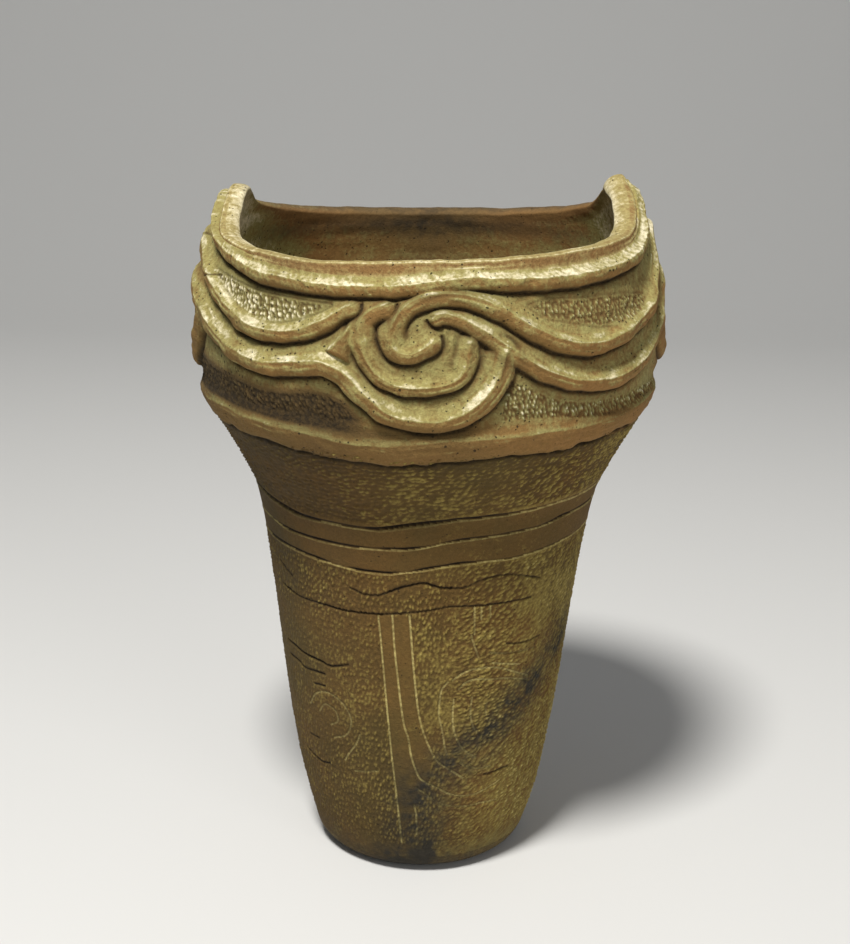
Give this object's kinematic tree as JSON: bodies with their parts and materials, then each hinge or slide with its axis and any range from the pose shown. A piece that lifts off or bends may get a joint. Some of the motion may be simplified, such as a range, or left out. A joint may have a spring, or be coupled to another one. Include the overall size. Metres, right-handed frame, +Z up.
{
  "type": "earthenware jar",
  "caption": "Hand-built deep earthenware jar: flat foot, coiled wall, flaring shoulder, and a bulging collar of applied clay ropes that wind into a swirl under a peaked lip.",
  "frame": {"origin": "centre of the flat foot, on the surface that the jar stands on", "axes": "+Z up along the jar's axis, -Y towards the front with the pictured swirl, +X towards the higher peak"},
  "size_m": [0.2624, 0.2616, 0.3907],
  "materials": {
    "foot_clay": "matt unglazed clay, smoked grey",
    "body_clay": "matt unglazed clay with cord marks",
    "collar_clay": "matt unglazed clay, dusty and pitted",
    "rope_clay": "matt unglazed clay, rubbed smooth",
    "lip_clay": "matt unglazed clay, rubbed smooth"
  },
  "bodies": {
    "root": {"base_disc": "foot_clay", "wall_course_1": "body_clay", "wall_course_2": "body_clay", "wall_course_3": "body_clay", "wall_course_4": "body_clay", "wall_course_5": "body_clay", "wall_course_6": "body_clay", "shoulder_course": "body_clay", "collar_lower_course": "collar_clay", "collar_upper_course": "collar_clay", "lip": "lip_clay", "girdle": "rope_clay", "front_lip_ridge": "rope_clay", "front_upper_left_garland": "rope_clay", "front_lower_left_garland": "rope_clay", "front_upper_right_spiral": "rope_clay", "front_lower_right_hook": "rope_clay", "front_scroll": "rope_clay", "front_triangle_pad": "rope_clay", "right_side_loop": "rope_clay", "back_lip_ridge": "rope_clay", "back_upper_left_garland": "rope_clay", "back_lower_left_garland": "rope_clay", "back_upper_right_spiral": "rope_clay", "back_lower_right_hook": "rope_clay", "back_scroll": "rope_clay", "back_triangle_pad": "rope_clay", "left_side_loop": "rope_clay"}
  },
  "joints": []
}
